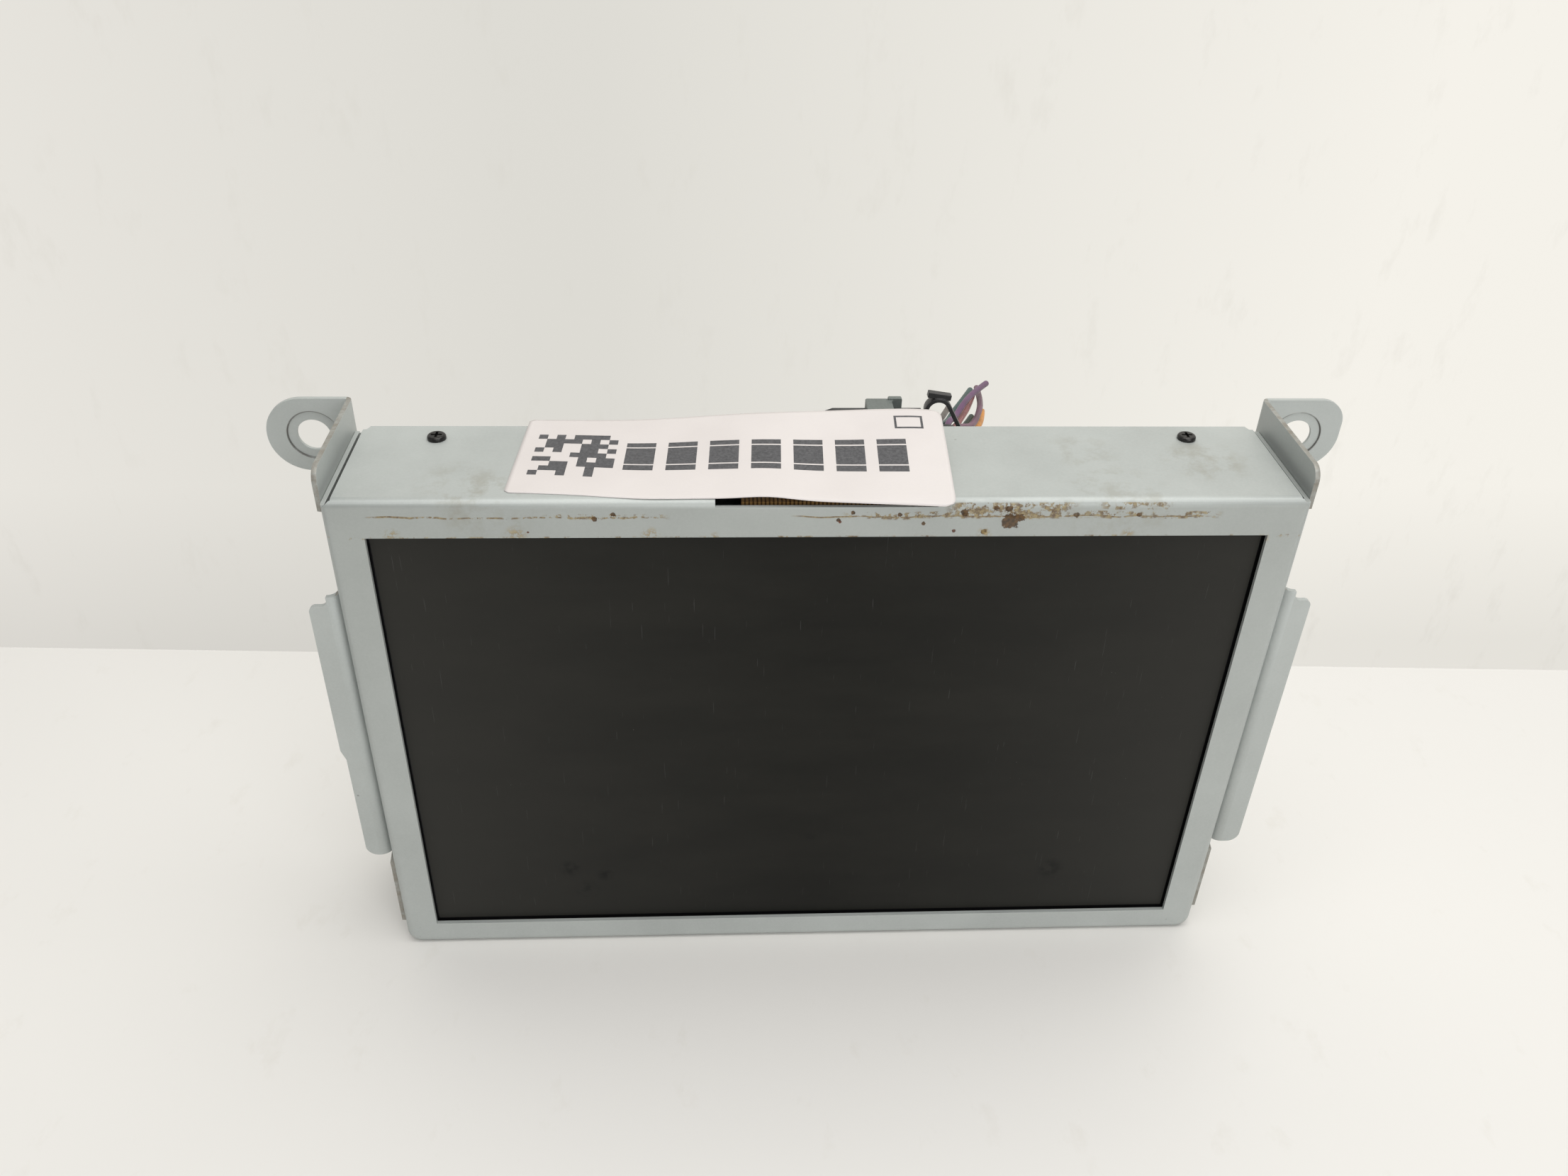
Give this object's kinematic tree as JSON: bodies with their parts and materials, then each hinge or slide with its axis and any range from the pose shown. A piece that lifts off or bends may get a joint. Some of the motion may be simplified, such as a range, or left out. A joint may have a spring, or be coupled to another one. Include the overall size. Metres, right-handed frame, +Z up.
{
  "type": "vehicle display module",
  "caption": "In-dash vehicle display module in a folded zinc-plated steel case with side brackets, a matte screen, a lever-lock rear connector and cut harness wires",
  "frame": {"origin": "centre of the case's flat underside, where it stands", "axes": "+X to the right of a person facing the screen, +Y from the screen to the back, +Z up"},
  "size_m": [0.2312, 0.0898, 0.1299],
  "materials": {
    "zinc_plate": "bluish zinc-plated steel, satin",
    "black_screw": "black oxide",
    "screen_film": "matte anti-glare",
    "screen_glass": "clear",
    "black_foam": "foam",
    "panel_steel": "plain",
    "black_plastic": "moulded",
    "white_plastic": "moulded",
    "lever_green": "moulded grey-green",
    "board_green": "solder mask",
    "chip_black": "moulded epoxy",
    "tinned": "tinned",
    "flex_amber": "polyimide",
    "paper_label": "paper",
    "wire_violet": "insulation",
    "wire_brown": "insulation",
    "wire_teal": "insulation",
    "wire_pink": "insulation",
    "wire_green": "insulation",
    "wire_slate": "insulation",
    "wire_orange": "insulation",
    "wire_grey": "insulation"
  },
  "bodies": {
    "case": {"anti_glare_film": "screen_film", "board_capacitors": "tinned", "board_posts": "tinned", "board_screws": "tinned", "bracket_screws": "black_screw", "diffuser_sheets": "white_plastic", "front_frame": "zinc_plate", "header_pins": "tinned", "header_shell": "black_plastic", "lcd_cell": "screen_glass", "lcd_socket": "white_plastic", "lcd_tail": "flex_amber", "led_strip": "board_green", "left_bracket": "zinc_plate", "light_guide": "white_plastic", "main_board": "board_green", "memory_chips": "chip_black", "panel_back_plate": "panel_steel", "panel_bezel": "panel_steel", "panel_moulding": "white_plastic", "panel_rails": "black_plastic", "power_inductor": "chip_black", "processor_chip": "chip_black", "rear_cover": "zinc_plate", "reflector_sheet": "white_plastic", "right_bracket": "zinc_plate", "shield_can": "tinned", "spacer_tape": "black_foam", "stock_label": "paper_label", "thermal_pad": "black_foam", "top_screws": "black_screw", "touch_gasket": "black_foam", "touch_glass": "screen_glass", "touch_socket": "white_plastic", "touch_tail": "flex_amber"},
    "plug": {"plug_housing": "black_plastic", "plug_terminals": "tinned", "wire_cover": "black_plastic", "cable_tie": "black_plastic", "wire_brown": "wire_brown", "wire_green": "wire_green", "wire_grey": "wire_grey", "wire_orange": "wire_orange", "wire_pink": "wire_pink", "wire_slate": "wire_slate", "wire_teal": "wire_teal", "wire_violet": "wire_violet"},
    "lever": {"plug_lever": "black_plastic"},
    "lock": {"lever_lock": "lever_green"}
  },
  "joints": [
    {"name": "plug_slide", "type": "slide", "parent": "case", "child": "plug", "axis": [0, 1, 0], "range_m": [0, 0.0056]},
    {"name": "lever_hinge", "type": "hinge", "parent": "plug", "child": "lever", "pos_m": [0.0144, 0.0267, 0.1095], "axis": [-1, 0, 0], "range_deg": [0, 60]},
    {"name": "lock_slide", "type": "slide", "parent": "lever", "child": "lock", "axis": [0, 1, 0], "range_m": [0, 0.0012]}
  ],
  "couplings": [
    {"joint": "lever_hinge", "follows": "plug_slide", "rad_per_m": 186.9}
  ]
}
